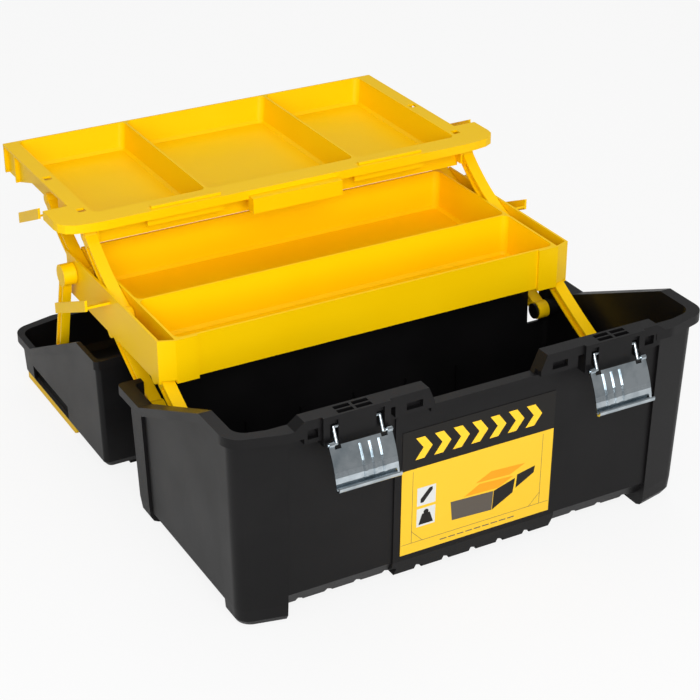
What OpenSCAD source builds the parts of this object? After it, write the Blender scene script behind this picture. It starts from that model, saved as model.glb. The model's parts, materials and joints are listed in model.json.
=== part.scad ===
// Cantilever tool box, shown open: a moulded box, a lid laid back behind it, and two trays on pivoting arms.
// X runs along the width, Y from front to back and Z up.
// The origin is under the middle of the box, on the floor.

/* [Box] */
// Width of the box body at its rim, without the lip
box_w = 476; // [450:2:500]
// Depth of the box at its rim, front wall to rear wall
box_d = 239; // [237:0.5:242]
// Taper of each side wall from base to front rim
side_taper = 5; // [3:1:10]
// Lean of the front wall from base to front rim
front_lean = 5; // [3:0.5:7]
// Lean of the rear wall from base to rear rim
rear_lean = 3; // [1:0.5:6]
// Wall thickness of the box
wall = 2.7; // [2:0.1:3]
// Height of the front rim
front_rim_z = 207; // [202:1:212]
// Height of the rear rim
rear_rim_z = 138; // [134:1:139]
// Length of the level part of each side rim behind the front wall
level_rim = 58; // [50:1:60]
// How much lower the rim is at the corners and sides than at the latches
corner_drop = 7; // [4:0.5:8]
// Overhang of the rim lip at the sides
lip = 6; // [4:0.5:8]
// Height of the rim lip
lip_h = 9; // [6:0.5:12]
// Width of each corner column on the front
column_w = 48; // [40:1:56]
// How far the front bays are set back behind the columns
bay_set = 3.5; // [3:0.1:4]
// Width of the front panel that carries the label
panel_w = 172; // [160:2:180]
// How far the side panels are set back behind the columns
side_set = 3; // [2:0.5:4]
// Height of the four corner feet
foot_h = 13; // [10:1:16]
// Length of each front foot along the side
foot_front = 40; // [36:1:60]
// Length of each rear foot along the side
foot_rear = 26; // [22:1:56]
// Width of the dropped part of the front rim
recess_w = 104; // [96:1:112]
// Depth of the dropped part of the front rim
recess_drop = 20; // [16:1:24]
// Spacing of the blocks along the lower front edge
notch_pitch = 29; // [24:1:34]

/* [Label] */
// Width of the label
label_w = 158; // [140:2:160]
// Height of the label
label_h = 128; // [110:1:132]
// Thickness of the label
label_t = 0.4; // [0.3:0.1:0.6]

/* [Lid] */
// Distance of the hinge axis behind the rear wall's rim
hinge_back = 34.25; // [32:0.25:35]
// Gap between the box rim and the lid rim at the front and the slope
lid_gap = 10; // [9.5:0.5:11]
// Gap between the box rim and the lid rim at the rear
rear_gap = 4.5; // [4:0.5:6]
// Height of the closed lid's top
lid_top_z = 264; // [262:1:268]
// Wall thickness of the lid
lid_wall = 2.6; // [2:0.1:3]
// Taper of each side of the lid
lid_taper = 4; // [3:0.5:5]
// Height of the pads and of the handle above the lid's top
pad_h = 12; // [11:0.5:13]
// Radius of the hinge pin
hinge_pin_r = 3; // [2.5:0.1:3.5]
// Radius of the hinge knuckles
knuckle_r = 7; // [6:0.5:8]

/* [Handle] */
// Distance of the handle pivot behind the middle of the box, lid closed
handle_pivot = 24; // [10:1:40]
// Length of the handle arms, pivot to grip
handle_reach = 124; // [110:1:128]
// Width of the grip
grip_w = 24; // [18:1:28]
// Width of a handle arm
handle_arm_w = 11; // [9:0.5:12]

/* [Trays] */
// Room between each end of the middle tray and the side rim
end_room = 16; // [15:0.5:18]
// Difference in depth between the box and the middle tray
tray_play = 10; // [9.5:0.5:13]
// Height of the middle tray
mid_h = 44; // [40:1:45]
// Gap between the closed middle tray and the rear rim's height
mid_rest = 2; // [1.5:0.5:3]
// Inset of each end of the top tray from the middle tray's end
top_inset = 2; // [1:0.5:4]
// Height of the top tray
top_h = 31.5; // [29:0.5:32]
// Difference in depth between the two trays' bodies
top_short = 13; // [12:1:17]
// Thickness of the top tray's front flange
flange_h = 9; // [7:0.5:9]
// Gap between the closed flange and the front rim
flange_rest = 0.5; // [0.4:0.1:1]
// Rounding of the corners inside the trays
tray_r = 7; // [4:0.5:10]
// How far the middle of the middle tray's front is set back between its corners
front_set = 2.5; // [1.5:0.5:3]
// Wall thickness of the trays
tray_wall = 2.4; // [1.8:0.1:2.6]
// Width of the channel for the arms at each end of a tray
channel_w = 13.2; // [13:0.1:14]
// Width of the centre tab
tab_w = 100; // [90:1:101]
// Distance of each cross divider from the middle of the top tray
divider_x = 83.6; // [70:0.5:95]

/* [Arms] */
// Length of the lower arms between pivots
lower_l = 97.6; // [97.2:0.1:98]
// Angle of the open lower arms above level
lower_open = 27; // [26:0.5:28]
// Angle of the closed lower arms
lower_shut = 162.5; // [162:0.1:163]
// Length of the upper arms between pivots
upper_l = 98.1; // [97.6:0.1:98.4]
// Angle of the open upper arms above level
upper_open = 30; // [29.5:0.5:30.5]
// Angle of the closed upper arms
upper_shut = 161.3; // [161:0.1:161.6]
// Width of an arm
arm_w = 12; // [10:0.5:12]
// Depth of an arm
arm_d = 11; // [9:0.5:12]
// Radius of the arm pivots
pivot_r = 4; // [3:0.5:4.5]
// Radius of the lid link's round hub
link_hub_r = 11; // [9:0.5:12]
// Height of the link's pivot in the open lid
link_foot_z = 76; // [74:1:78]

/* [Latches] */
// Distance of each latch from the middle of the box
latch_x = 131; // [126:0.5:133]
// Width of the latch plate
plate_w = 60; // [54:1:64]
// Length of the latch plate
plate_l = 38; // [34:1:44]
// Thickness of the latch plate
plate_t = 1.2; // [1:0.1:1.6]
// Radius of the bail wire
wire_r = 1.5; // [1.2:0.1:1.8]
// Length of the bail legs
bail_l = 13; // [12:0.5:15]

/* [Hidden] */
$fn = 48;
black = "#262628";
yellow = "#ffc800";
steel = "#c9ced2";
fit = 0.05;
side_gap = 0.6;
clear = 0.5;
// The box in plan
front_y = 1.25 - box_d / 2;
rear_y = 1.25 + box_d / 2;
base_front = front_y + front_lean;
base_rear = rear_y - rear_lean;
base_w = box_w - 2 * side_taper;
corner_r = 14;
rear_r = 5;
corner_back = 11;
far = box_w;
slope_y0 = front_y + level_rim;
slope_y1 = slope_y0 + box_d - 103;
corner_z = front_rim_z - corner_drop;
slope = (corner_z - rear_rim_z) / (slope_y1 - slope_y0);
rim_w = box_w + 2 * lip;
lip_front = front_y - lip - 2;
lip_rear = rear_y + 5.25;
function face_y(z) = base_front - front_lean * z / front_rim_z;
function rim_z(y) = y < slope_y0 ? corner_z : y > slope_y1 ? rear_rim_z : corner_z - slope * (y - slope_y0);
recess_z = front_rim_z - recess_drop;
panel_set = bay_set / 2;
floor_z = foot_h + 3;
bevel = 9;
bevel_h = 15;
// The lid, given for the closed box and turned over about the hinge
hinge_y = rear_y + hinge_back;
hinge_z = rear_rim_z;
lid_front_z = front_rim_z + lid_gap;
lid_rear_z = rear_rim_z + rear_gap;
lid_slope_y0 = slope_y0 - 6;
lid_slope_y1 = slope_y1 + 4;
lid_half = box_w / 2 + 4;
lid_rear = lip_rear;
lid_front = front_y - 4;
panel_x = lid_half - 34;
panel_y0 = lid_front + 50;
panel_y1 = lid_rear - 60;
sunk = 2;
// Arms and trays
lower_step = lower_l * [cos(lower_shut) - cos(lower_open), sin(lower_shut) - sin(lower_open)];
upper_step = upper_l * [cos(upper_shut) - cos(upper_open), sin(upper_shut) - sin(upper_open)];
mid_z = rear_rim_z + mid_rest - lower_step[1];
mid_y = face_y(rear_rim_z) + bay_set + wall + 2 * clear - lower_step[0];
mid_d = box_d - tray_play;
mid_back = mid_y + mid_d;
mid_top = mid_z + mid_h;
mid_half = box_w / 2 - end_room;
top_half = mid_half - top_inset;
top_d = mid_d - top_short;
channel_in = mid_half - tray_wall - channel_w;
arm_in = channel_in + side_gap;
arm_out = arm_in + arm_w;
flange_z = front_rim_z + flange_rest - lower_step[1] - upper_step[1];
top_z = flange_z + flange_h;
top_floor = top_z - top_h;
top_back = mid_back - upper_step[0];
top_front = top_back - top_d;
flange_front = top_front - 22;
wing_back = top_front + 29.5;
wing_half = rim_w / 2 + 1.5;
lower_front = [mid_y + 18, mid_z + 2];
lower_rear = lower_front + [mid_d - 125, 0];
upper_front = [mid_y + 101, mid_z + 27];
upper_rear = upper_front + [mid_d - 129, 0];
lower_reach = lower_l * [cos(lower_open), sin(lower_open)];
upper_reach = upper_l * [cos(upper_open), sin(upper_open)];
hub = [mid_back - 18, mid_z + 27];
hub_shut = hub + lower_step;
// The link's foot is as far from the hub with the lid open as with it closed
link_a = hub_shut - 2 * [hinge_y, hinge_z];
link_c = 2 * (link_a + hub);
foot_y = (hub * hub - link_a * link_a - link_c[1] * link_foot_z) / link_c[0];
foot = [foot_y, link_foot_z];
link_in = mid_half + 4;
link_out = link_in + 9;
// The side rails of the trays lie on the sloping rim of the closed box
web_t = 2.4;
rail_x0 = rim_w / 2 + side_gap;
rail_x1 = rail_x0 + 2.4;
// Latches
plate_tilt = 34;
bail_y = lip_front - 1;
bail_z = front_rim_z - 11;
bail_foot = [bail_y - 6, bail_z - bail_l];
plate_r = 90;
curl_r = 3.2;
block_half = plate_w / 2 + 2;
leg_x = plate_w / 2 - 8;

// Extrudes an outline drawn in Y and Z along X, from x0 to x1
module along_x(x0, x1) {
  translate([x0, 0, 0]) rotate([90, 0, 90]) linear_extrude(x1 - x0) children();
}
module bar_x(p, r, x0, x1) {
  translate([x0, p[0], p[1]]) rotate([0, 90, 0]) cylinder(r = r, h = x1 - x0);
}
module block(x0, x1, y0, y1, z0, z1) {
  translate([x0, y0, z0]) cube([x1 - x0, y1 - y0, z1 - z0]);
}
module both() {
  children();
  mirror([1, 0, 0]) children();
}
module turned_over() {
  translate([0, 2 * hinge_y, 2 * hinge_z]) rotate([180, 0, 0]) children();
}
// Plan of a shell: half width w, front y0, rear y1, with the front corners angled back by an amount
module outline(w, y0, y1, back, run) {
  polygon([[-w, y1], [w, y1], [w, y0 + back], [w - run, y0], [run - w, y0], [-w, y0 + back]]);
}
module plan(w, y0, y1, r, back, run = column_w) {
  offset(r = r) offset(delta = -r) outline(w, y0, y1, back, run);
  intersection() {
    offset(r = rear_r) offset(delta = -rear_r) outline(w, y0, y1, back, run);
    translate([-w, y1 - 2 * r]) square([2 * w, 2 * r]);
  }
}
module slab(z, w, y0, y1, r, back, run = column_w) {
  translate([0, 0, z]) linear_extrude(0.5) plan(w, y0, y1, r, back, run);
}
module round_rect(x0, x1, y0, y1, r) {
  offset(r = r) translate([x0 + r, y0 + r]) square([x1 - x0 - 2 * r, y1 - y0 - 2 * r]);
}
// A compartment with rounded corners that narrows by its draft towards the floor
module pocket(x0, x1, y0, y1, z0, z1, draft) {
  hull() {
    translate([0, 0, z1]) linear_extrude(1) round_rect(x0, x1, y0, y1, tray_r);
    translate([0, 0, z0 + 3]) linear_extrude(1)
      round_rect(x0 + draft, x1 - draft, y0 + draft, y1 - draft, tray_r);
    translate([0, 0, z0]) linear_extrude(1)
      round_rect(x0 + draft + 3, x1 - draft - 3, y0 + draft + 3, y1 - draft - 3, tray_r - 3);
  }
}

// ---- Box ----
module below_rim(drop) {
  polygon([[-far, -1], [far, -1], [far, rear_rim_z - drop], [slope_y1, rear_rim_z - drop],
           [slope_y0, corner_z - drop], [-far, corner_z - drop]]);
}
// The raised middle part of the front rim, with its sloping ends
module raised(drop) {
  x1 = latch_x + block_half + 16;
  translate([0, front_y + 30, 0]) rotate([90, 0, 0]) linear_extrude(60)
    polygon([[-x1 - 9, corner_z - drop - 1], [-x1 - 9, corner_z - drop], [-x1, front_rim_z - drop],
             [x1, front_rim_z - drop], [x1 + 9, corner_z - drop], [x1 + 9, corner_z - drop - 1]]);
}
top_rear = base_rear + rear_lean * front_rim_z / rear_rim_z;
module tub() {
  hull() {
    slab(0, base_w / 2 - 9, base_front + 8, base_rear - 11, corner_r, corner_back);
    slab(2.5, base_w / 2 - 4, base_front + 3.5, base_rear - 7, corner_r, corner_back);
    slab(8, base_w / 2 - 0.8, base_front + 0.8, base_rear - 3, corner_r, corner_back);
    slab(20, base_w / 2, base_front, base_rear, corner_r, corner_back);
    slab(front_rim_z, box_w / 2, front_y, top_rear, corner_r, corner_back);
  }
}
module cavity() {
  in_x = wall + side_set;
  in_y = wall + bay_set;
  back = corner_back - bay_set - 1.5;
  run = column_w - 22;
  hull() {
    slab(floor_z, base_w / 2 - in_x - 3, base_front + in_y + bevel, base_rear - wall - 6, corner_r, back,
          run);
    slab(floor_z + bevel_h, base_w / 2 - in_x, base_front + in_y, base_rear - wall, corner_r, back, run);
    slab(front_rim_z, box_w / 2 - in_x, front_y + in_y, top_rear - wall, corner_r, back, run);
  }
}
// Sets a front bay back, with a bevel along its lower edge
module bay_cut(x0, x1, set, edge, z1) {
  along_x(x0, x1) polygon([[-far, -1], [face_y(0) + set + edge, -1], [face_y(0) + set + edge, foot_h],
                           [face_y(bevel_h) + set, foot_h + bevel_h], [face_y(z1) + set, z1], [-far, z1]]);
}
// Sets a side wall back between the front and rear columns
module side_cut() {
  depth = base_rear - foot_rear - base_front - foot_front;
  rotate([90, 0, 0]) translate([0, 0, foot_rear - base_rear]) linear_extrude(depth)
    polygon([[base_w / 2 - side_set, -1], [far, -1], [far, front_rim_z], [box_w / 2 - side_set, front_rim_z],
             [base_w / 2 - side_set, 0]]);
}
module rim_lip() {
  difference() {
    intersection() {
      linear_extrude(front_rim_z + 1) plan(rim_w / 2, lip_front, lip_rear, corner_r + lip, corner_back + 2);
      union() {
        along_x(-rim_w, rim_w) difference() {
          below_rim(0);
          below_rim(lip_h);
        }
        raised(0);
      }
    }
    block(-recess_w / 2 - 12, recess_w / 2 + 12, lip_front - 5, front_y + 30, recess_z - 1, front_rim_z + 5);
    both() block(0, latch_x + block_half + 16, lip_front - 5, front_y + 2, corner_z - lip_h - 1,
          front_rim_z - lip_h);
  }
}
module latch_block() {
  wing = 16;
  difference() {
    union() {
      block(latch_x - block_half, latch_x + block_half, lip_front - 3, front_y + 6, front_rim_z - 27,
            front_rim_z);
      block(recess_w / 2 + 2, latch_x - block_half - 6, lip_front, front_y + 6, front_rim_z - 20,
            front_rim_z);
      block(latch_x + block_half - 1, latch_x + block_half + wing, lip_front + 0.5, front_y + 6,
            front_rim_z - 22, front_rim_z);
    }
    // slots for the bail's legs and the hole that its upper part turns in
    for (s = [-1, 1])
      block(latch_x + s * leg_x - 4, latch_x + s * leg_x + 4, lip_front - 5, front_y - 3, front_rim_z - 28,
            front_rim_z - 4);
    bar_x([bail_y, bail_z], wire_r + fit, latch_x - leg_x - 1, latch_x + leg_x + 1);
    // finger pockets beside the block
    block(recess_w / 2 + 14, recess_w / 2 + 30, lip_front - 1, lip_front + 5, front_rim_z - 16,
          front_rim_z - 5);
    block(latch_x + block_half + 3, latch_x + block_half + wing - 3, lip_front - 1, lip_front + 5,
          front_rim_z - 18, front_rim_z - 6);
  }
}
// Moulded hollows in the top of the block
module block_hollows() {
  for (x = [-16, 1.5], y = [lip_front - 0.5, lip_front + 6.5])
    block(latch_x + x, latch_x + x + 15, y, y + 5, front_rim_z - 7, front_rim_z + 1);
}
module box_hinge() {
  for (s = [-1, 1])
    difference() {
      along_x(s * 21.5 - 9, s * 21.5 + 9) {
        translate([hinge_y, hinge_z]) circle(knuckle_r);
        polygon([[lip_rear - 4, rear_rim_z - 20], [lip_rear - 4, rear_rim_z], [hinge_y, hinge_z + knuckle_r],
                 [hinge_y + 3, hinge_z - 6.3]]);
      }
      bar_x([hinge_y, hinge_z], hinge_pin_r + fit, -60, 60);
    }
}
module lower_stubs(out) {
  both() for (p = [lower_front, lower_rear])
    bar_x(p - lower_reach, 9, arm_out + clear, base_w / 2 + out);
}
module feet_gaps() {
  column_in = box_w / 2 - column_w;
  difference() {
    union() {
      block(-column_in, column_in, -far, far, -1, foot_h);
      block(-far, far, base_front + foot_front, base_rear - foot_rear, -1, foot_h);
    }
    // middle pad
    translate([0, 0, -1]) cylinder(r = 16, h = foot_h + 2);
  }
}
module bin_shell() color(black) {
  difference() {
    union() {
      intersection() {
        tub();
        union() {
          along_x(-far, far) below_rim(0);
          raised(0);
        }
      }
      rim_lip();
      // rolled edge of the dropped part of the rim
      block(-recess_w / 2 - 3, recess_w / 2 + 3, face_y(recess_z) - 4, face_y(recess_z) + 8, recess_z - 7,
            recess_z);
      both() latch_block();
      lower_stubs(2);
    }
    difference() {
      cavity();
      lower_stubs(5);
      both() block(recess_w / 2, latch_x + block_half + 16, front_y - 10, front_y + 6, front_rim_z - 27,
            front_rim_z + 1);
    }
    both() bay_cut(panel_w / 2, box_w / 2 - column_w, bay_set, bevel, front_rim_z - 27);
    bay_cut(-panel_w / 2, panel_w / 2, panel_set, bevel / 3, recess_z - 8);
    both() intersection() {
      side_cut();
      along_x(0, far) below_rim(lip_h + 1);
    }
    // dropped part of the front rim
    translate([0, front_y + 30, 0]) rotate([90, 0, 0]) linear_extrude(60)
      polygon([[-recess_w / 2, recess_z], [recess_w / 2, recess_z], [recess_w / 2 + 9, front_rim_z + 2],
               [-recess_w / 2 - 9, front_rim_z + 2]]);
    // notches that part the lower front edge into blocks
    for (x = [-notch_pitch * 6 : notch_pitch : notch_pitch * 6])
      if (abs(x) < box_w / 2 - column_w - 6)
        translate([x, base_front + (abs(x) < panel_w / 2 ? panel_set : bay_set + 4), foot_h])
          rotate([-35, 18, 0])
          cube([7, 20, 9], center = true);
    feet_gaps();
    both() block_hollows();
    // slots in the rear wall that the open rear arms pass through
    both() block(arm_in - 1.5, arm_out + 1.5, base_rear - 20, lip_rear + 1, rear_rim_z - 45, rear_rim_z + 1);
  }
  // ribs on the inside of the rear wall
  for (x = [-box_w / 4 : box_w / 8 : box_w / 4])
    block(x - 1, x + 1, base_rear - 6, base_rear - 2, floor_z - 1, rear_rim_z / 2);
  for (x = [-150, 0, 150])
    translate([x, 0, 0]) box_hinge();
}
module front_label() color(yellow) {
  z0 = foot_h + 21;
  z1 = z0 + label_h;
  d = panel_set - 0.02;
  along_x(-label_w / 2, label_w / 2)
    polygon([[face_y(z0) + d, z0], [face_y(z1) + d, z1], [face_y(z1) + d - label_t, z1],
          [face_y(z0) + d - label_t, z0]]);
}
module hinge_pins() color(steel) {
  for (x = [-150, 0, 150])
    bar_x([hinge_y, hinge_z], hinge_pin_r, x - 32, x + 32);
}

// ---- Lid, drawn closed ----
module above_rim(drop) {
  polygon([[-far, lid_front_z + drop], [lid_slope_y0, lid_front_z + drop], [lid_slope_y1, lid_rear_z + drop],
           [far, lid_rear_z + drop], [far, 2 * lid_top_z], [-far, 2 * lid_top_z]]);
}
module lid_form(inset) {
  hull() {
    slab(lid_rear_z - 3, lid_half - inset, lid_front - 10 + inset, lid_rear - inset, corner_r + 4,
          corner_back);
    slab(lid_top_z - 7 - inset, lid_half - lid_taper + 1 - inset, lid_front + 5 + inset,
          lid_rear - 2 - inset, corner_r,
         corner_back);
    slab(lid_top_z - 0.5 - inset, lid_half - lid_taper - 4 - inset, lid_front + 10 + inset,
          lid_rear - 6 - inset,
         corner_r, corner_back);
  }
}
module lid_hinge() {
  difference() {
    along_x(-12, 12) {
      translate([hinge_y, hinge_z]) circle(knuckle_r);
      polygon([[lid_rear - 4, lid_rear_z], [lid_rear - 4, lid_rear_z + 18], [hinge_y, hinge_z + knuckle_r],
               [hinge_y - 4.5, hinge_z - 5.4], [hinge_y - 14, lid_rear_z]]);
    }
    bar_x([hinge_y, hinge_z], hinge_pin_r + fit, -20, 20);
  }
}
module handle_ear() {
  z = lid_top_z + pad_h / 2;
  difference() {
    along_x(lid_half - lid_taper - 5 - handle_arm_w - 7, lid_half - lid_taper - 5 - handle_arm_w - clear) {
      translate([handle_pivot, z]) circle(pad_h / 2);
      polygon([[handle_pivot - 16, lid_top_z - 1], [handle_pivot + 16, lid_top_z - 1], [handle_pivot + 6, z],
               [handle_pivot - 6, z]]);
    }
    bar_x([handle_pivot, z], 3 + fit, 0, lid_half);
  }
}
module lid_closed() {
  difference() {
    union() {
      intersection() {
        lid_form(0);
        along_x(-rim_w, rim_w) above_rim(0);
      }
      intersection() {
        translate([0, 0, lid_rear_z - 1]) linear_extrude(lid_top_z - lid_rear_z)
          plan(rim_w / 2, lip_front - lip / 2, lid_rear + 2, corner_r + lip, corner_back + 2);
        along_x(-rim_w, rim_w) difference() {
          above_rim(0);
          above_rim(lip_h);
        }
      }
    }
    difference() {
      lid_form(lid_wall);
      // bosses that the lid links turn on
      both() bar_x([2 * hinge_y - foot[0], 2 * hinge_z - foot[1]], 8, link_out + clear, lid_half);
      // raised panel inside the lid, under the sunk panel on its top
      difference() {
        block(-panel_x, panel_x, panel_y0, panel_y1, lid_top_z - 2 * lid_wall - sunk, lid_top_z);
        block(-panel_x + 12, panel_x - 12, panel_y1 - 26, panel_y1 - 18, lid_top_z - 2 * lid_wall - sunk - 1,
              lid_top_z - lid_wall - sunk);
      }
    }
    block(-panel_x + 3, panel_x - 3, panel_y0 + 3, panel_y1 - 3, lid_top_z - sunk, lid_top_z + 1);
    // catches: the lip is cut away behind the latch plates
    both() block(latch_x - block_half, latch_x + block_half, lip_front - lip, lid_front + 2.5,
          lid_front_z + 3.5,
                 lid_front_z + lip_h + 1);
    // finger openings beside the handle arms
    both() block(lid_half - 14, rim_w, -handle_reach / 2 - 12, handle_pivot + 2, lid_top_z - 22,
          lid_top_z - 7);
  }
  both() bar_x([2 * hinge_y - foot[0], 2 * hinge_z - foot[1]], pivot_r, link_in - 1, link_out + 2);
  for (x = [-150, 0, 150])
    translate([x, 0, 0]) lid_hinge();
  both() handle_ear();
  // pads that the open lid lies on
  both() for (y = [handle_pivot - handle_reach + grip_w / 2 + 3, lid_rear - 46])
    block(lid_half - 58, lid_half - 36, y, y + 26, lid_top_z - 1, lid_top_z + pad_h);
}
module lid_shell() color(black) turned_over() lid_closed();

// ---- Handle, drawn folded on the closed lid ----
module carry_handle() color(yellow) turned_over() {
  x1 = lid_half - lid_taper - 5;
  x0 = x1 - handle_arm_w;
  z0 = lid_top_z + clear;
  z1 = lid_top_z + pad_h - clear;
  zp = lid_top_z + pad_h / 2;
  grip_y = handle_pivot - handle_reach;
  both() difference() {
    along_x(x0, x1) {
      translate([handle_pivot, zp]) circle(pad_h / 2 - clear);
      polygon([[grip_y, z0], [handle_pivot, z0], [handle_pivot, z1], [grip_y, z1]]);
    }
    bar_x([handle_pivot, zp], 3 + fit, x0 - 1, x1 - 2.5);
  }
  difference() {
    block(-x1, x1, grip_y - grip_w / 2, grip_y + grip_w / 2, z0, z1);
    for (x = [-x1 + 16 : 24 : x1 - 34])
      block(x, x + 20, grip_y - grip_w / 2 + 3, grip_y + grip_w / 2 - 3, z0 - 1, z0 + 6);
  }
}
module handle_pins() color(steel) turned_over() {
  x1 = lid_half - lid_taper - 5;
  both() bar_x([handle_pivot, lid_top_z + pad_h / 2], 3, x1 - handle_arm_w - 7, x1 - 3);
}

// ---- Trays ----
// Outline of a tray's side rail: it lies along the sloping rim of the closed box
module rail_outline(y0, y1, step, low, high) {
  polygon([[y0 - step[0], rim_z(y0) - step[1] + low],
        [y1 - step[0], rim_z(y0) - slope * (y1 - y0) - step[1] + low],
           [y1 - step[0], rim_z(y0) - slope * (y1 - y0) - step[1] + high],
                 [y0 - step[0], rim_z(y0) - step[1] + high]]);
}
module rail(y0, y1, web, x_in, step, up) {
  along_x(rail_x0, rail_x1) rail_outline(y0, y1, step, up - 2, up + web_t + 7);
  along_x(x_in, rail_x0 + 0.1) rail_outline(y0, y0 + web, step, up, up + web_t);
}
module middle_tray() color(yellow) {
  half_in = channel_in;
  divider_y = mid_y + 0.4 * mid_d;
  lug_z = mid_top - 16;
  difference() {
    block(-half_in, half_in, mid_y, mid_back, mid_z, mid_top);
    pocket(tray_wall - half_in, half_in - tray_wall, mid_y + tray_wall + front_set, divider_y - tray_wall / 2,
           mid_z + tray_wall, mid_top, 2);
    pocket(tray_wall - half_in, half_in - tray_wall, divider_y + tray_wall / 2, mid_back - tray_wall,
          mid_z + tray_wall,
           mid_top, 2);
    // the front wall is set back between the corner blocks
    block(-half_in + 22, half_in - 22, mid_y - 1, mid_y + front_set, mid_z - 1, mid_top + 1);
    block(-half_in + 22, half_in - 22, mid_y - 1, mid_y + front_set + 3, mid_z - 1, mid_z + 2);
  }
  both() {
    // angled front corner, side skin, end wall and ties of the arm channel
    translate([0, 0, mid_z + 3.5]) linear_extrude(mid_h - 3.5)
      polygon([[half_in - 0.1, mid_y], [half_in + 0.1, mid_y], [mid_half, mid_y + 6],
            [mid_half, mid_y + 6 + tray_wall],
               [half_in + 0.1, mid_y + tray_wall], [half_in - 0.1, mid_y + tray_wall]]);
    block(mid_half - tray_wall, mid_half, mid_y + 6, mid_back, mid_z, mid_top);
    block(half_in - 0.1, mid_half, mid_back - tray_wall, mid_back, mid_z, lug_z);
    for (y = [mid_y + 32, mid_y + 60])
      block(half_in - 0.1, mid_half, y, y + 2, mid_z + 16, mid_z + 34 - (y - mid_y) / 4);
    for (p = [lower_front, lower_rear]) {
      bar_x(p, 6.5, half_in - 1.5, half_in);
      bar_x(p, 6.5, mid_half - tray_wall, mid_half);
    }
    for (p = [lower_front, lower_rear, upper_front, upper_rear])
      bar_x(p, pivot_r, half_in - 1, mid_half - 0.5);
    bar_x(hub, 5, mid_half - 1, link_out - 2);
    rail(slope_y0 + 68, slope_y0 + 154, 22, mid_half - 1, lower_step, 4);
  }
}
module flange_plan(inset) {
  w = wing_half - inset;
  f = flange_front + inset;
  polygon([[top_half - 20, f], [top_half - 4, f + 1.2], [w - 15, f + 4], [w - 6, f + 9], [w - 1.5, f + 16],
           [w, f + 24], [w, wing_back - inset],
           [top_half - 1 - inset, wing_back - inset], [top_half - 1 - inset, top_front + 2],
                 [0, top_front + 2], [0, f]]);
}
module top_tray() color(yellow) {
  half_in = channel_in;
  total = lower_step + upper_step;
  rail_y = slope_y0 + 3;
  rail_web = 17;
  rail_up = 8;
  ledge_y = flange_front + 7;
  difference() {
    block(-half_in, half_in, top_front, top_back, top_floor, top_z);
    for (x = [[tray_wall - half_in, -divider_x - tray_wall / 2],
          [tray_wall / 2 - divider_x, divider_x - tray_wall / 2],
              [divider_x + tray_wall / 2, half_in - tray_wall]])
      pocket(x[0], x[1], top_front + tray_wall, top_back - tray_wall, top_floor + tray_wall, top_z, 3);
  }
  both() {
    // land over the arms, with two snap holes
    difference() {
      block(half_in - 0.1, top_half, top_front - 2, top_back, top_z - tray_wall, top_z);
      for (y = [top_front + 14, top_front + 105])
        block(top_half - 12, top_half - 4, y - 4.5, y + 4.5, top_z - 5, top_z + 1);
    }
    // side skin beside the front arm, ribs of the open side
    block(top_half - tray_wall, top_half, top_front - 2, wing_back, top_z - flange_h, top_z);
    for (y = [top_front + 0.84 * top_d, top_back - tray_wall])
      block(half_in - 0.1, top_half, y, y + tray_wall, top_floor, top_z);
    // skin set back under the land, clear of the closed rear arm
    along_x(top_half - 4 - tray_wall, top_half - 4)
      polygon([[upper_rear[0] + upper_reach[0] + 16, top_z - 8], [top_front + 0.84 * top_d, top_floor],
            [top_back, top_floor],
               [top_back, top_z - 1], [upper_rear[0] + upper_reach[0] + 16, top_z - 1]]);
    // ears and stubs of the upper arms
    block(half_in - tray_wall, half_in, flange_front + 11.5, top_front + 4, flange_z - 17, flange_z + 1);
    for (p = [upper_front, upper_rear])
      bar_x(p + upper_reach, pivot_r, half_in - 1, arm_out + side_gap);
    // flange with a turned-down edge
    translate([0, 0, top_z - tray_wall]) linear_extrude(tray_wall) flange_plan(0);
    difference() {
      translate([0, 0, flange_z]) linear_extrude(flange_h - 1) flange_plan(0);
      translate([-0.5, 0, flange_z - 1]) linear_extrude(flange_h + 1) flange_plan(tray_wall);
      block(-1, top_half - 20, top_front, top_front + 5, flange_z - 1, top_z);
    }
    // raised bar on the flange and the ledge under it
    block(divider_x - 6, divider_x + 68, flange_front + 5, flange_front + 9, top_z - 1, top_z + 2.5);
    block(divider_x - 10, divider_x + 72, ledge_y, ledge_y + 3, flange_z - 9, top_z - 1);
    rail(rail_y, rail_y + 61, rail_web, top_half - 1, total, rail_up);
    // skin that carries the rail
    along_x(top_half - tray_wall, top_half) translate([-total[0], -total[1]])
      polygon([[rail_y - 12, top_z - 1 + total[1]], [rail_y - 12, rim_z(rail_y) + rail_up],
            [rail_y, rim_z(rail_y) + rail_up],
               [rail_y + rail_web, rim_z(rail_y + rail_web) + rail_up],
                     [rail_y + rail_web, top_z - 1 + total[1]]]);
  }
  // centre tab
  difference() {
    block(-tab_w / 2, tab_w / 2, flange_front - 11, flange_front + 1, flange_z - 12, flange_z + 4);
    block(-tab_w / 2 + 3, tab_w / 2 - 3, flange_front - 8, flange_front + 2, flange_z - 13, flange_z + 1);
  }
}

// ---- Arms ----
function bow(p, q, sag, off, t) =
  let(d = q - p, u = d / norm(d)) p + d * t + [-u[1], u[0]] * (off - sag * 4 * t * (1 - t));
module arm_outline(p, q, half, sag) {
  n = 10;
  polygon(concat([for (i = [0 : n]) bow(p, q, sag, half, i / n)],
        [for (i = [n : -1 : 0]) bow(p, q, sag, -half, i / n)]));
}
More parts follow.
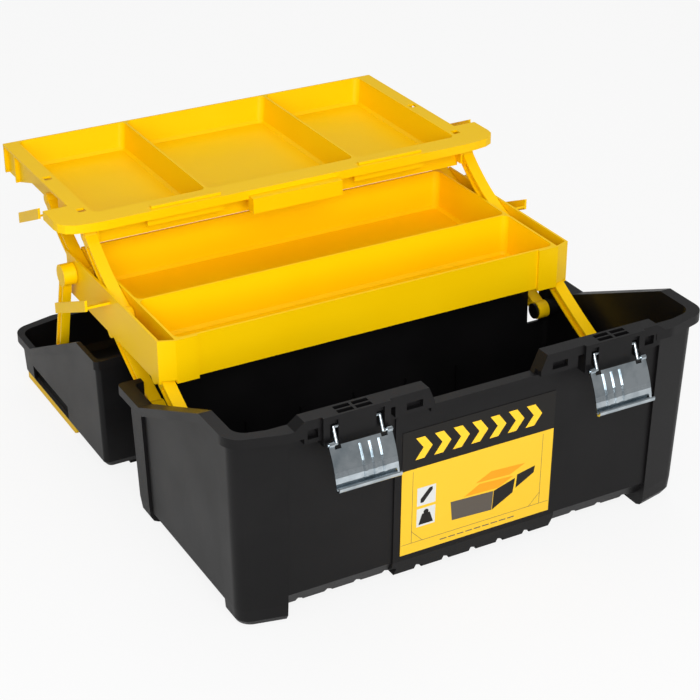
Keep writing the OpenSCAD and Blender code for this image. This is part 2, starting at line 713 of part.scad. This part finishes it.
// An arm of H section between two pivots p and q, open at q
module arm(p, q, sag, r_p, r_q) {
  difference() {
    union() {
      along_x(arm_in, arm_out) arm_outline(p, q, arm_d / 2, sag);
      bar_x(p, r_p, arm_in, arm_out);
      bar_x(q, r_q, arm_in, arm_out);
    }
    for (x = [arm_in - 1, arm_out - 4])
      along_x(x, x + 5) arm_pocket(p, q, sag, 2);
  }
}
module arm_pocket(p, q, sag, edge) {
  intersection() {
    arm_outline(p, q, arm_d / 2 - edge, sag);
    arm_outline(bow(p, q, sag, 0, 0.13), bow(p, q, sag, 0, 0.87), arm_d, 0);
  }
}
module lower_arm(p) color(yellow) difference() {
  arm(p - lower_reach, p, 2, 9, 7.5);
  bar_x(p, pivot_r + fit, arm_in - 1, arm_out + 1);
  bar_x(p - lower_reach, 3 + fit, arm_in - 1, arm_out - 2);
}
module upper_arm(p) color(yellow) difference() {
  arm(p, p + upper_reach, 6, 7.5, 6.5);
  for (c = [p, p + upper_reach])
    bar_x(c, pivot_r + fit, arm_in - 1, arm_out + 1);
}
module pivot_cap(p) color(black) {
  bar_x(p - lower_reach, 8, arm_in - 2.8, arm_in - side_gap / 2);
  bar_x(p - lower_reach, 3, arm_in - 1, arm_out - 3);
}
module lid_link() color(yellow) difference() {
  union() {
    along_x(link_in, link_out) {
      arm_outline(foot, hub, arm_d / 2, 0);
      translate(foot) circle(9);
    }
    bar_x(hub, link_hub_r, mid_half + side_gap, link_out + 1);
  }
  for (x = [link_in - 1, link_out - 2])
    along_x(x, x + 3) arm_pocket(foot, hub, 0, 2);
  bar_x(foot, pivot_r + fit, link_in - 2, link_out + 1);
  bar_x(hub, 5 + fit, mid_half, link_out - 1.5);
}

// ---- Latches ----
module latch_bail() color(steel) translate([latch_x, 0, 0]) {
  leg = bail_foot - [bail_y, bail_z];
  bar_x([bail_y, bail_z], wire_r, -leg_x, leg_x);
  for (s = [-1, 1]) {
    translate([s * leg_x, bail_y, bail_z]) rotate([180 + atan2(leg[0], -leg[1]), 0, 0])
      cylinder(r = wire_r, h = norm(leg));
    translate([s * leg_x, bail_y, bail_z]) sphere(wire_r);
    bar_x(bail_foot, wire_r, min(s * leg_x, s * (plate_w / 2 + 1)), max(s * leg_x, s * (plate_w / 2 + 1)));
    translate([s * leg_x, bail_foot[0], bail_foot[1]]) sphere(wire_r);
  }
}
// Points along the curved plate, at a distance out from its inner face
function plate_arc(out, i0, i1) =
  [for (i = [i0 : sign(i1 - i0) : i1])
    let(a = 180 + plate_l / plate_r * 180 / PI * i / 8) [plate_r, 0] + (plate_r + out) * [cos(a), sin(a)]];
module plate_outline() {
  polygon(concat(plate_arc(0, 0, 8), plate_arc(plate_t, 8, 0)));
  translate(plate_arc(0, 8, 9)[0] + [-curl_r, 0]) difference() {
    circle(curl_r + 0.4);
    circle(curl_r - plate_t);
    translate([-2 * curl_r, 0]) square([4 * curl_r, 2 * curl_r]);
  }
}
module rib_outline(rise) polygon(concat(plate_arc(0.2, 1, 7), plate_arc(plate_t + rise, 7, 1)));
module on_plate() translate([0, bail_foot[0], bail_foot[1]]) rotate([-plate_tilt, 0, 0]) children();
module latch_plate() color(steel) translate([latch_x, 0, 0]) difference() {
  union() {
    on_plate() along_x(-plate_w / 2, plate_w / 2) translate([0.6, 0]) plate_outline();
    // ears that turn on the bail's ends, and the three rounded ribs
    for (s = [-1, 1])
      bar_x(bail_foot, wire_r + plate_t, min(s * leg_x, s * plate_w / 2), max(s * leg_x, s * plate_w / 2));
    for (x = [-17, -8, 1], rib = [[2, 0.4], [1.5, 0.8], [0.8, 1.1]])
      on_plate() along_x(x - rib[0], x + rib[0]) translate([0.6, 0]) rib_outline(rib[1]);
  }
  bar_x(bail_foot, wire_r + fit, -plate_w, plate_w);
  // the ends of the rolled edge are cut away for the legs of the bail
  for (s = [-1, 1])
    block(s * leg_x - 3, s * leg_x + 3, bail_foot[0] - 4, bail_foot[0] + 6, bail_foot[1] - 3.6,
          bail_foot[1] + 6);
}

bin_shell();
front_label();
hinge_pins();
lid_shell();
carry_handle();
handle_pins();
middle_tray();
top_tray();
mirror([1, 0, 0]) lower_arm(lower_front);  // lower_arm_front_left
lower_arm(lower_front);  // lower_arm_front_right
mirror([1, 0, 0]) lower_arm(lower_rear);  // lower_arm_rear_left
lower_arm(lower_rear);  // lower_arm_rear_right
mirror([1, 0, 0]) pivot_cap(lower_front);  // pivot_cap_front_left
pivot_cap(lower_front);  // pivot_cap_front_right
mirror([1, 0, 0]) pivot_cap(lower_rear);  // pivot_cap_rear_left
pivot_cap(lower_rear);  // pivot_cap_rear_right
mirror([1, 0, 0]) upper_arm(upper_front);  // upper_arm_front_left
upper_arm(upper_front);  // upper_arm_front_right
mirror([1, 0, 0]) upper_arm(upper_rear);  // upper_arm_rear_left
upper_arm(upper_rear);  // upper_arm_rear_right
mirror([1, 0, 0]) lid_link();  // lid_link_left
lid_link();  // lid_link_right
mirror([1, 0, 0]) latch_bail();  // latch_bail_left
latch_bail();  // latch_bail_right
mirror([1, 0, 0]) latch_plate();  // latch_plate_left
latch_plate();  // latch_plate_right
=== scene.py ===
"""Looks of an open cantilever tool box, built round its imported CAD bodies.

The moulded box, the lid laid back behind it, the two yellow trays on their arms and the plated
draw latches are CAD nodes. This script rounds their edges, gives each its finish, prints the label
and stands the whole on a pale studio floor. Lengths are in metres unless a comment says otherwise.
"""

import json
import logging
import math
from dataclasses import dataclass
from enum import Enum
from typing import Any, Iterable, Sequence

import bpy
from mathutils import Matrix, Vector

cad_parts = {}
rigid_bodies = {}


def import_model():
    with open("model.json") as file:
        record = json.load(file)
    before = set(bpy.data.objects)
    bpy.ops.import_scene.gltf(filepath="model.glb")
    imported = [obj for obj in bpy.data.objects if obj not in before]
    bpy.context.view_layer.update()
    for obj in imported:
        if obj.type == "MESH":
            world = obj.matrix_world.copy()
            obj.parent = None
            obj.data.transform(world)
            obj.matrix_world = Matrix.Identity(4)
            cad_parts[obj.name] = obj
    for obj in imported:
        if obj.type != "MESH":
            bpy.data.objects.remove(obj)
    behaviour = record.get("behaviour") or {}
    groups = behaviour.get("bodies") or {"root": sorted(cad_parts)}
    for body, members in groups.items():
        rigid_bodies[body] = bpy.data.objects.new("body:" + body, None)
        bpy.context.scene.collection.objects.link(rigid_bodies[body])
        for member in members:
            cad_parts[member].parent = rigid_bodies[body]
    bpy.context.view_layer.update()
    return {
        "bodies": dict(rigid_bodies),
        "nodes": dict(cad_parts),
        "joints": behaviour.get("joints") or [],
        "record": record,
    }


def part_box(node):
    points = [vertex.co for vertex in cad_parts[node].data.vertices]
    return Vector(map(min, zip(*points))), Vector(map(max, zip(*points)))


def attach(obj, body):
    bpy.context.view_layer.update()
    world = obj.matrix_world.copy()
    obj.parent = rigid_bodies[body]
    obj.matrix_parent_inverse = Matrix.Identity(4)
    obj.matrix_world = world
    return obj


Triple = tuple[float, float, float]
Outline = list[tuple[float, float]]

LOG = logging.getLogger("tool_box")
MM = 0.001
FLAT_ANGLE = math.radians(0.6)
SHARP_ANGLE = math.radians(32.0)
BEVEL_SEGMENTS = 2


class Slot(Enum):
    """The record's material slots that the finishes stand for."""

    BLACK = "black_plastic"
    YELLOW = "yellow_plastic"
    PRINT = "label_print"
    ZINC = "zinc_steel"
    PIN = "pin_steel"


class Round(Enum):
    """Edge radii of the kinds of pieces."""

    SHELL = 0.9 * MM
    TRAY = 0.6 * MM
    ARM = 0.7 * MM
    SHEET = 0.15 * MM
    NONE = 0.0


class Value:
    """A node's output that takes part in Python expressions.

    Args:
        graph: The graph that the output belongs to.
        socket: The output socket.
    """

    def __init__(self, graph: "Graph", socket: bpy.types.NodeSocket) -> None:
        self.graph = graph
        self.socket = socket

    def _math(self, operation: str, first: Any, second: Any) -> "Value":
        """Returns a Math node's value."""
        return self.graph.node("ShaderNodeMath", {"operation": operation}, {0: first, 1: second})

    def __add__(self, other: Any) -> "Value":
        """Sum."""
        return self._math("ADD", self, other)

    def __radd__(self, other: Any) -> "Value":
        """Sum, reflected."""
        return self._math("ADD", other, self)

    def __sub__(self, other: Any) -> "Value":
        """Difference."""
        return self._math("SUBTRACT", self, other)

    def __rsub__(self, other: Any) -> "Value":
        """Difference, reflected."""
        return self._math("SUBTRACT", other, self)

    def __mul__(self, other: Any) -> "Value":
        """Product."""
        return self._math("MULTIPLY", self, other)

    def __rmul__(self, other: Any) -> "Value":
        """Product, reflected."""
        return self._math("MULTIPLY", other, self)

    def __gt__(self, other: Any) -> "Value":
        """1 where the first is greater, and 0 elsewhere."""
        return self._math("GREATER_THAN", self, other)


class Graph:
    """A tree of shader nodes.

    Args:
        tree: The tree that the nodes are made in.
    """

    def __init__(self, tree: bpy.types.NodeTree) -> None:
        self.tree = tree

    def node(
        self,
        kind: str,
        settings: dict[str, Any] | None = None,
        inputs: dict[Any, Any] | None = None,
        output: Any = 0,
    ) -> Value:
        """Makes one node.

        Args:
            kind: The node's type.
            settings: Its properties, set before its sockets.
            inputs: Values or links by socket name or number.
            output: The output wanted, by name or number.

        Returns:
            The wanted output.
        """
        made = self.tree.nodes.new(kind)
        for key, value in (settings or {}).items():
            setattr(made, key, value)
        self.feed(made, inputs or {})
        return Value(self, made.outputs[output])

    def feed(self, target: bpy.types.Node, inputs: dict[Any, Any]) -> None:
        """Sets or links a node's sockets.

        Args:
            target: The node.
            inputs: Values or links by socket name or number.
        """
        for key, value in inputs.items():
            if isinstance(value, Value):
                self.tree.links.new(value.socket, target.inputs[key])
            else:
                target.inputs[key].default_value = value


class Shader(Graph):
    """A material and the nodes that make it.

    Args:
        name: The material's name.
    """

    def __init__(self, name: str) -> None:
        self.material = bpy.data.materials.new(name)
        self.material.use_nodes = True
        super().__init__(self.material.node_tree)
        self.principled = self.tree.nodes["Principled BSDF"]

    def surface(self, **inputs: Any) -> None:
        """Sets sockets of the Principled shader; underscores in the names stand for spaces."""
        self.feed(self.principled, {key.replace("_", " "): value for key, value in inputs.items()})

    def place(self) -> Value:
        """Returns the place on the object, which rides with it."""
        return self.node("ShaderNodeTexCoord", output="Object")

    def noise(self, scale: float, detail: float, stretch: Sequence[float] = (1, 1, 1)) -> Value:
        """Makes cloudy noise that rides with the object.

        Args:
            scale: Features in a metre.
            detail: Octaves.
            stretch: Scale along each axis.

        Returns:
            The noise, between 0 and 1.
        """
        where = self.node("ShaderNodeMapping", inputs={"Vector": self.place(), "Scale": stretch})
        return self.node("ShaderNodeTexNoise", inputs={"Vector": where, "Scale": scale, "Detail": detail})

    def ramp(self, value: Value, low: float, high: float) -> Value:
        """Returns value rescaled so that low is 0 and high is 1."""
        return self.node("ShaderNodeMapRange", inputs={"Value": value, "From Min": low, "From Max": high})

    def blend(self, amount: Any, *colours: Any) -> Value:
        """Mixes two colours.

        Args:
            amount: How much of the second colour there is, from 0 to 1.
            colours: The two colours, as triples or values.

        Returns:
            The mixed colour.
        """
        first, second = (c if isinstance(c, Value) else (*c, 1.0) for c in colours)
        return self.node("ShaderNodeMix", {"data_type": "RGBA"}, {0: amount, 6: first, 7: second}, 2)

    def bump(self, height: Value, strength: float, distance: float) -> Value:
        """Returns a normal bent by a height."""
        sockets = {"Height": height, "Strength": strength, "Distance": distance}
        return self.node("ShaderNodeBump", inputs=sockets)


@dataclass(frozen=True)
class Plastic:
    """Injection-moulded plastic with a fine grain and a cloudy sheen."""

    name: str
    slot: Slot
    colour: Triple
    worn: Triple
    rough: float
    grain: float
    sheen: float
    clouds: float = 14.0
    specks: float = 2600.0

    def make(self) -> bpy.types.Material:
        """Makes the finish.

        Returns:
            The material.
        """
        shader = Shader(self.name)
        cloud = shader.ramp(shader.noise(self.clouds, 3.0), 0.35, 0.7)
        speck = shader.noise(self.specks, 2.0)
        shader.surface(
            Base_Color=shader.blend(cloud * 0.6 + speck * 0.2, self.colour, self.worn),
            Roughness=self.rough + (cloud - 0.5) * 0.08 + (speck - 0.5) * 0.1,
            Normal=shader.bump(speck, self.grain, 0.0004),
            Specular_IOR_Level=self.sheen,
        )
        return shader.material


@dataclass(frozen=True)
class Plated:
    """Sheet or wire steel with bright zinc plate."""

    name: str
    slot: Slot
    colour: Triple
    dull: Triple
    rough: float
    blooms: float = 60.0
    streaks: float = 700.0

    def make(self) -> bpy.types.Material:
        """Makes the finish.

        Returns:
            The material.
        """
        shader = Shader(self.name)
        bloom = shader.ramp(shader.noise(self.blooms, 4.0), 0.4, 0.7)
        drawn = shader.noise(self.streaks, 3.0, (1.0, 0.12, 0.12))
        shader.surface(
            Base_Color=shader.blend(bloom, self.colour, self.dull),
            Roughness=self.rough + bloom * 0.08 + (drawn - 0.5) * 0.1,
            Normal=shader.bump(drawn, 0.08, 0.0003),
            Metallic=1.0,
        )
        return shader.material


@dataclass(frozen=True)
class Ink:
    """One printed colour of the laminated label."""

    name: str
    colour: Triple
    slot: Slot = Slot.PRINT
    fibres: float = 900.0
    shade: float = 0.93

    def tint(self, shader: Shader, fibre: Value) -> Value:
        """Makes the colour over the surface.

        Args:
            shader: The shader that it is made in.
            fibre: The paper's own noise.

        Returns:
            The colour.
        """
        return shader.blend(fibre, tuple(self.shade * c for c in self.colour), self.colour)

    def make(self) -> bpy.types.Material:
        """Makes the finish.

        Returns:
            The material.
        """
        shader = Shader(self.name)
        fibre = shader.noise(self.fibres, 3.0)
        shader.surface(
            Base_Color=self.tint(shader, fibre),
            Roughness=0.34 + (fibre - 0.5) * 0.08,
            Normal=shader.bump(fibre, 0.05, 0.0002),
            Specular_IOR_Level=0.2,
        )
        return shader.material


@dataclass(frozen=True)
class Sheet(Ink):
    """The label's own sheet: one colour below a line across it and another above."""

    upper: Triple = (0.01, 0.009, 0.008)
    line: float = 122.5 * MM

    def tint(self, shader: Shader, fibre: Value) -> Value:
        """Gives the ink below the line and the upper colour above it."""
        height = shader.node("ShaderNodeSeparateXYZ", inputs={0: shader.place()}, output="Z")
        return shader.blend(height > self.line, super().tint(shader, fibre), self.upper)


BLACK = Plastic(
    "black_moulding",
    Slot.BLACK,
    colour=(0.0045, 0.0043, 0.0046),
    worn=(0.0085, 0.008, 0.0085),
    rough=0.38,
    grain=0.2,
    sheen=0.18,
)
YELLOW = Plastic(
    "yellow_moulding",
    Slot.YELLOW,
    colour=(0.98, 0.6, 0.0),
    worn=(1.0, 0.63, 0.0),
    rough=0.4,
    grain=0.1,
    sheen=0.16,
)
ZINC = Plated("bright_zinc", Slot.ZINC, (0.58, 0.64, 0.68), (0.34, 0.4, 0.44), rough=0.09)
PIN = Plated("pin_rod", Slot.PIN, (0.62, 0.63, 0.65), (0.5, 0.5, 0.52), rough=0.3)
LABEL_SHEET = Sheet("label_sheet", (0.86, 0.53, 0.03))
LABEL_YELLOW = Ink("label_yellow", (0.98, 0.6, 0.03))
LABEL_BLACK = Ink("label_black", (0.012, 0.011, 0.01))
LABEL_WHITE = Ink("label_white", (0.66, 0.67, 0.65))
LABEL_AMBER = Ink("label_amber", (0.95, 0.34, 0.01))
LABEL_BROWN = Ink("label_brown", (0.1, 0.085, 0.07))


class Wardrobe:
    """Makes each finish once and puts it on pieces."""

    def __init__(self) -> None:
        self.made: dict[str, bpy.types.Material] = {}

    def material(self, finish: Any) -> bpy.types.Material:
        """Finds a finish's material, and makes it at its first use.

        Args:
            finish: A Plastic, Plated, Ink or Sheet.

        Returns:
            The material.
        """
        if finish.name not in self.made:
            self.made[finish.name] = finish.make()
        return self.made[finish.name]

    def dress(self, piece: bpy.types.Object, finish: Any) -> None:
        """Gives a piece one finish all over."""
        piece.data.materials.clear()
        piece.data.materials.append(self.material(finish))


def soften(piece: bpy.types.Object, radius: float) -> None:
    """Rounds a piece's sharp edges with modifiers, which leave its mesh as it is.

    Args:
        piece: The mesh object.
        radius: The edge radius.
    """
    if radius <= 0.0:
        return
    flat = piece.modifiers.new("flat_faces", "DECIMATE")
    flat.decimate_type = "DISSOLVE"
    flat.angle_limit = FLAT_ANGLE
    edge = piece.modifiers.new("rounded_edges", "BEVEL")
    edge.width = radius
    edge.segments = BEVEL_SEGMENTS
    edge.limit_method = "ANGLE"
    edge.angle_limit = SHARP_ANGLE
    edge.use_clamp_overlap = True
    edge.harden_normals = True
    edge.miter_outer = "MITER_ARC"


@dataclass
class Moulding:
    """A group of CAD nodes that share a finish and an edge radius."""

    title: str
    nodes: tuple[str, ...]
    finish: Any
    edge: Round

    def dress(self, wardrobe: Wardrobe, frame: dict[str, Any]) -> None:
        """Rounds and finishes the group's nodes.

        Args:
            wardrobe: Where the finishes are made.
        """
        for name in self.nodes:
            node = frame["nodes"][name]
            wardrobe.dress(node, self.finish)
            soften(node, self.edge.value)
            LOG.info("%s: %s (%s)", self.title, name, self.finish.slot.value)


def pair(*names: str) -> tuple[str, ...]:
    """Returns the left and right nodes of each name."""
    return tuple(f"{name}_{side}" for name in names for side in ("left", "right"))


# Shapes of the print, in millimetres. A chevron rises from the top of the yellow field, and an icon
# stands on the middle line of its tile. The rest starts at the middle of the label's lower edge.
CHEVRON = ((0, 9), (9, 9), (17, 20), (9, 31), (0, 31), (8, 20))
WEIGHT = ((-7.5, 28), (7.5, 28), (4, 39), (-4, 39))
BAR = ((-6, 51), (-3, 51), (6, 62), (6, 65), (3, 65), (-6, 55))
KNOB = tuple((2.6 * math.cos(a * math.pi / 8), 40.5 + 2.6 * math.sin(a * math.pi / 8)) for a in range(16))
CASE_FRONT = ((-26, 22), (16, 20), (17, 40), (-28, 42))
CASE_SIDE = ((16.6, 20), (38, 32), (40, 47), (17.6, 40))
LID_SIDE = ((41, 36), (60, 47), (61, 54), (42, 50))
LOWER_SHELF = ((-14, 43), (22, 42), (38, 50), (2, 52))
UPPER_SHELF = ((-2, 54), (34, 52.5), (50, 60), (14, 62))


def outline(corners: Iterable[tuple[float, float]], u: float = 0.0, v: float = 0.0) -> Outline:
    """Returns an outline in metres, from corners in millimetres, moved by u and v."""
    return [(u + a * MM, v + b * MM) for a, b in corners]


def rectangle(u0: float, u1: float, v0: float, v1: float) -> Outline:
    """Returns a rectangle's outline."""
    return [(u0, v0), (u1, v0), (u1, v1), (u0, v1)]


@dataclass
class Label:
    """The printed label on the front panel, with a plain generic layout.

    Its prints are thin shapes that lie on the label's own face. A point of the print is u to the right
    of the label's middle and v above its lower edge.
    """

    wardrobe: Wardrobe
    paper: float = 0.4 * MM
    ink: float = 0.08 * MM
    lift: float = 0.12 * MM
    rule: float = 0.35 * MM
    inset: float = 11 * MM
    chevrons: int = 7
    chevron_start: float = 13 * MM
    chevron_pitch: float = 19 * MM
    tile: float = 19 * MM
    tile_start: float = 16 * MM
    tile_feet: tuple[float, ...] = (26 * MM, 48 * MM)
    dash: float = 7 * MM
    dash_foot: float = 4.6 * MM
    dash_starts: Iterable[int] = range(-38, 38, 9)

    def measure(self) -> None:
        """Reads the label's face from its CAD node."""
        low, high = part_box("front_label")
        self.front, self.foot = high.y - self.paper, low.z
        self.half = (high.x - low.x) / 2
        self.lean = (high.y - low.y - self.paper) / (high.z - low.z)
        self.field_top = LABEL_SHEET.line - low.z

    def point(self, u: float, v: float, layer: int) -> Vector:
        """Returns the place of a point of the print, so many print layers off the face."""
        return Vector((u, self.front - self.lean * v - self.lift * layer, self.foot + v))

    def shape(self, name: str, outlines: Iterable[Outline], ink: Ink, layer: int = 1) -> None:
        """Prints flat shapes.

        Args:
            name: The piece's name.
            outlines: Corners of each shape, anticlockwise as seen from the front.
            ink: Its colour.
            layer: How many print layers it stands off the face.
        """
        points: list[Vector] = []
        faces: list[list[int]] = []
        for corners in outlines:
            start = len(points)
            points += [self.point(u, v, layer) for u, v in corners]
            faces.append(list(range(start, len(points))))
        mesh = bpy.data.meshes.new(name)
        mesh.from_pydata(points, [], faces)
        piece = bpy.data.objects.new(name, mesh)
        bpy.context.scene.collection.objects.link(piece)
        thick = piece.modifiers.new("ink", "SOLIDIFY")
        thick.thickness = self.ink
        thick.offset = -1.0
        self.wardrobe.dress(piece, ink)
        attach(piece, "box")
        LOG.info("label: %s", name)

    def build(self) -> None:
        """Prints the row of chevrons on the black band, and the yellow field's rules, tiles and picture."""
        self.measure()
        starts = (self.chevron_start - self.half + step * self.chevron_pitch for step in range(self.chevrons))
        self.shape("label_chevrons", [outline(CHEVRON, u, self.field_top) for u in starts], LABEL_YELLOW)
        self.rules()
        self.tiles()
        self.pictogram()

    def rules(self) -> None:
        """Prints the thin lines near the edges of the yellow field, and a row of dashes below them."""
        u, v0, v1 = self.half - self.inset, self.inset, self.field_top - 3 * MM
        lines = [
            rectangle(-u, -u + self.rule, v0, v1),
            rectangle(u - self.rule, u, v0, v1),
            rectangle(-self.half + MM, self.half - MM, v0 - self.rule, v0),
        ]
        for side in (-1, 1):
            corner = [
                (side * u, v0 + 12 * MM),
                (side * (u - 11 * MM), v0),
                (side * (u - 11.5 * MM), v0),
                (side * u, v0 + 12.5 * MM),
            ]
            lines.append(corner if side < 0 else corner[::-1])
        for start in self.dash_starts:
            lines.append(rectangle(start * MM, start * MM + self.dash, self.dash_foot, self.dash_foot + MM))
        self.shape("label_rules", lines, LABEL_BROWN)

    def tiles(self) -> None:
        """Prints two pale tiles, one with a plain bar and one with a weight."""
        left = self.tile_start - self.half
        squares = [rectangle(left, left + self.tile, foot, foot + self.tile) for foot in self.tile_feet]
        self.shape("label_tiles", squares, LABEL_WHITE)
        icons = [outline(corners, left + self.tile / 2) for corners in (WEIGHT, KNOB, BAR)]
        self.shape("label_icons", icons, LABEL_BLACK, 2)

    def pictogram(self) -> None:
        """Prints a simple picture of an open case with two raised shelves."""
        self.shape("label_case_front", [outline(CASE_FRONT)], LABEL_BROWN)
        self.shape("label_case_side", [outline(CASE_SIDE), outline(LID_SIDE)], LABEL_BLACK)
        self.shape("label_shelves", [outline(LOWER_SHELF), outline(UPPER_SHELF)], LABEL_AMBER)


@dataclass(frozen=True)
class Lamp:
    """One soft rectangular lamp: where it hangs, its width and height, and its power in watts."""

    name: str
    place: Triple
    size: tuple[float, float]
    watts: float

    def hang(self, aim: Vector) -> None:
        """Hangs the lamp.

        Args:
            aim: The point it faces.
        """
        data = bpy.data.lights.new(self.name, "AREA")
        data.shape = "RECTANGLE"
        data.size, data.size_y = self.size
        data.energy = self.watts
        lamp = bpy.data.objects.new(self.name, data)
        lamp.location = self.place
        lamp.rotation_euler = (aim - Vector(self.place)).to_track_quat("-Z", "Y").to_euler()
        bpy.context.scene.collection.objects.link(lamp)


LAMPS = (
    Lamp("key_lamp", (-0.7, -2.15, 1.3), (1.8, 1.8), 62.0),
    Lamp("fill_lamp", (-1.9, -0.5, 1.2), (1.6, 1.6), 5.0),
    Lamp("top_lamp", (0.1, 0.3, 2.3), (1.8, 1.8), 5.0),
    Lamp("back_lamp", (0.7, 1.7, 2.3), (1.8, 1.4), 11.0),
)


@dataclass
class Studio:
    """The floor, the lamps and the camera at the photograph's viewpoint. Angles are in degrees."""

    eye: Triple = (-0.7772, -1.2968, 0.9699)
    heading: float = -28.7
    pitch: float = 62.08
    roll: float = -0.17
    lens: float = 95.66
    sensor: float = 36.0
    aim: Triple = (0.0, 0.15, 0.12)
    reach: float = 6.0
    drop: float = 0.3 * MM
    paper: float = 0.8
    glow: float = 0.86
    mirrored: float = 0.25
    surround: float = 0.34
    backdrop: float = 0.6

    def floor(self) -> None:
        """Lays the pale floor, which keeps the object's shadow and looks nearly white."""
        mesh = bpy.data.meshes.new("studio_floor")
        corners = [(x * self.reach, y * self.reach, 0) for x, y in ((-1, -1), (1, -1), (1, 1), (-1, 1))]
        mesh.from_pydata(corners, [], [(0, 1, 2, 3)])
        piece = bpy.data.objects.new("studio_floor", mesh)
        piece.location.z = -self.drop
        bpy.context.scene.collection.objects.link(piece)
        shader = Shader("studio_paper")
        shader.surface(Base_Color=(self.paper, self.paper, self.paper, 1.0), Roughness=0.9)
        rays = ("Is Camera Ray", "Is Glossy Ray", "Is Transmission Ray")
        camera, gloss, through = (shader.node("ShaderNodeLightPath", output=ray) for ray in rays)
        seen = (camera + self.mirrored * gloss + through) * self.glow
        lit = Value(shader, shader.principled.outputs[0])
        white = shader.node("ShaderNodeEmission", inputs={"Strength": 1.0})
        mixed = shader.node("ShaderNodeMixShader", inputs={0: seen, 1: lit, 2: white})
        shader.feed(shader.tree.nodes["Material Output"], {"Surface": mixed})
        mesh.materials.append(shader.material)

    def world(self) -> None:
        """Sets a white surround that lights the object softly."""
        world = bpy.data.worlds.new("studio")
        bpy.context.scene.world = world
        world.use_nodes = True
        graph = Graph(world.node_tree)
        seen = graph.node("ShaderNodeLightPath", output="Is Camera Ray")
        strength = self.surround + self.backdrop * seen
        graph.feed(graph.tree.nodes["Background"], {"Color": (1.0, 1.0, 1.0, 1.0), "Strength": strength})

    def camera(self) -> None:
        """Places the camera where the photograph was taken."""
        data = bpy.data.cameras.new("photo_camera")
        data.lens = self.lens
        data.sensor_width = self.sensor
        camera = bpy.data.objects.new("photo_camera", data)
        turns = ((self.heading, "Z"), (self.pitch, "X"), (self.roll, "Z"))
        heading, pitch, roll = (Matrix.Rotation(math.radians(angle), 4, axis) for angle, axis in turns)
        camera.matrix_world = Matrix.Translation(self.eye) @ heading @ pitch @ roll
        bpy.context.scene.collection.objects.link(camera)
        bpy.context.scene.camera = camera

    def build(self) -> None:
        """Sets up the whole studio."""
        self.floor()
        self.world()
        for lamp in LAMPS:
            lamp.hang(Vector(self.aim))
        self.camera()
        bpy.context.scene.view_settings.view_transform = "Standard"
        LOG.info("studio: floor, lamps and camera")


MOULDINGS = (
    Moulding("box", ("bin_shell",), BLACK, Round.SHELL),
    Moulding("lid", ("lid_shell",), BLACK, Round.SHELL),
    Moulding("pivots", pair("pivot_cap_front", "pivot_cap_rear"), BLACK, Round.ARM),
    Moulding("handle", ("carry_handle",), YELLOW, Round.ARM),
    Moulding("trays", ("middle_tray", "top_tray"), YELLOW, Round.TRAY),
    Moulding("lower arms", pair("lower_arm_front", "lower_arm_rear"), YELLOW, Round.ARM),
    Moulding("upper arms", pair("upper_arm_front", "upper_arm_rear"), YELLOW, Round.ARM),
    Moulding("lid links", pair("lid_link"), YELLOW, Round.ARM),
    Moulding("pins", ("hinge_pins", "handle_pins"), PIN, Round.NONE),
    Moulding("latches", pair("latch_bail", "latch_plate"), ZINC, Round.SHEET),
    Moulding("label", ("front_label",), LABEL_SHEET, Round.NONE),
)


def main() -> None:
    """Builds the scene."""
    logging.basicConfig(level=logging.INFO, format="%(name)s %(message)s")
    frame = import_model()
    Studio().build()
    wardrobe = Wardrobe()
    for moulding in MOULDINGS:
        moulding.dress(wardrobe, frame)
    Label(wardrobe).build()


if __name__ == "__main__":
    main()
